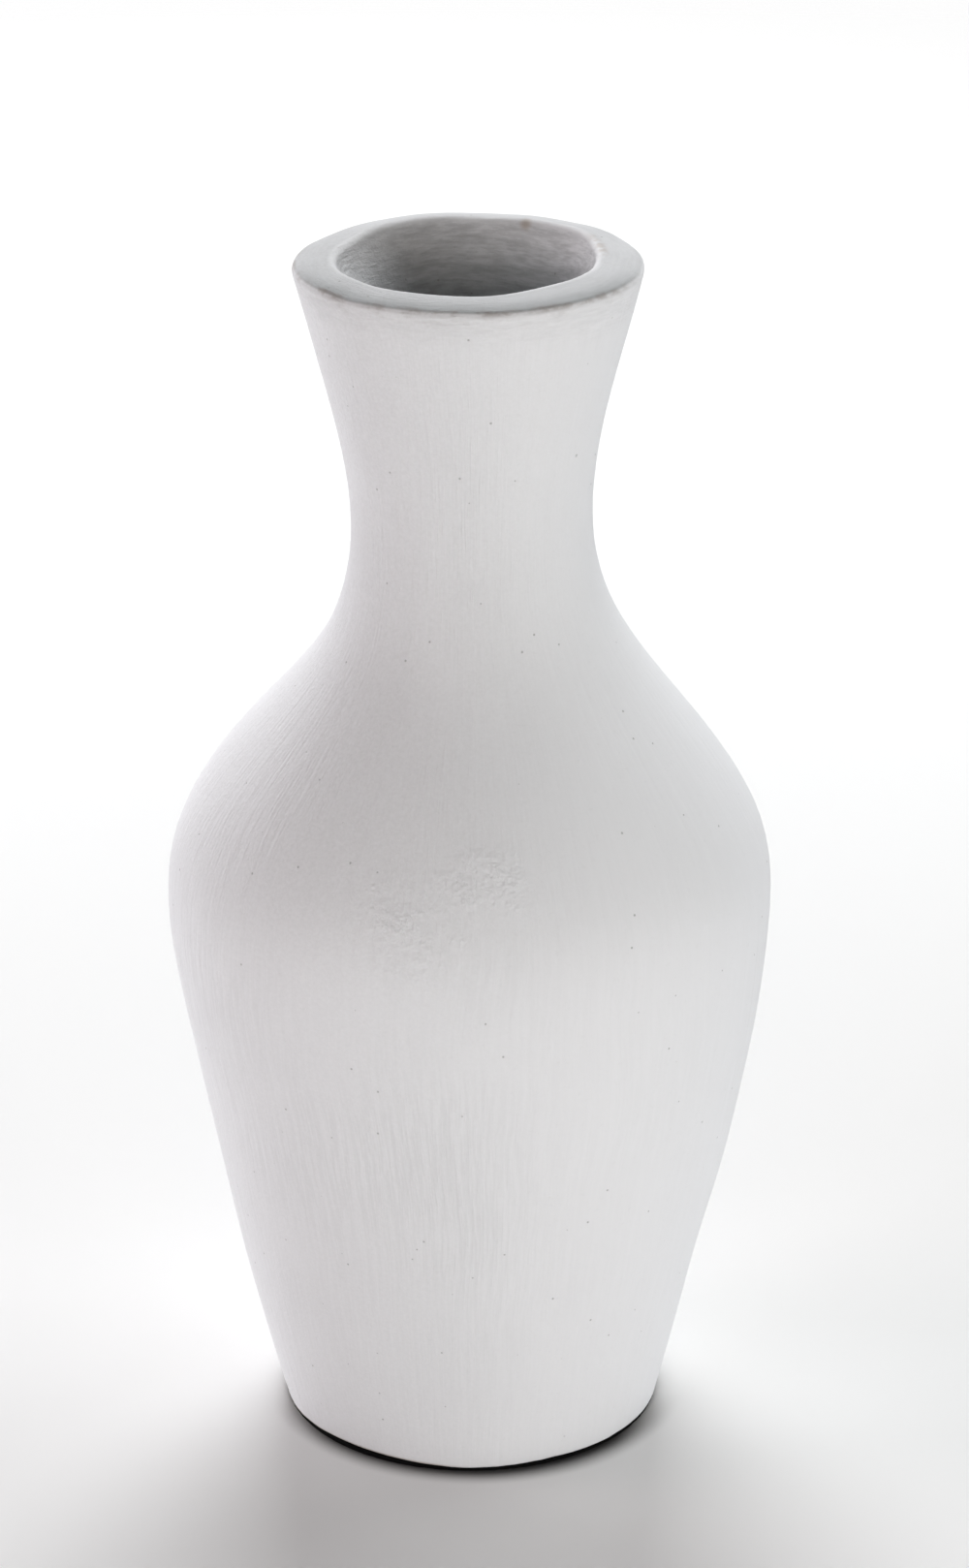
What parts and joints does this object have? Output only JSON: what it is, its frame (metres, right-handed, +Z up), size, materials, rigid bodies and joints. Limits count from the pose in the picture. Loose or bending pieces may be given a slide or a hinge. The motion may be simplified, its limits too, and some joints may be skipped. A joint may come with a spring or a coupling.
{
  "type": "ceramic bud vase",
  "caption": "Free-standing hollow vase: flared neck with a wide mouth, narrow waist, high round shoulder, tapering belly, felt pad under a flat foot.",
  "frame": {"origin": "on the table, in the middle of the pad's underside", "axes": "+Z up along the vase's axis; +X and +Y are any two directions on the table, because the vase is round"},
  "size_m": [0.1192, 0.1192, 0.24],
  "materials": {
    "matte_white_coat": "fired clay with a matte, chalky white coat put on by brush inside and out; fine bristle lines, pinholes, dirt along the rim edge",
    "black_felt": "dense black felt with a self-adhesive back"
  },
  "bodies": {
    "root": {"vase_body": "matte_white_coat", "base_pad": "black_felt"}
  },
  "joints": []
}
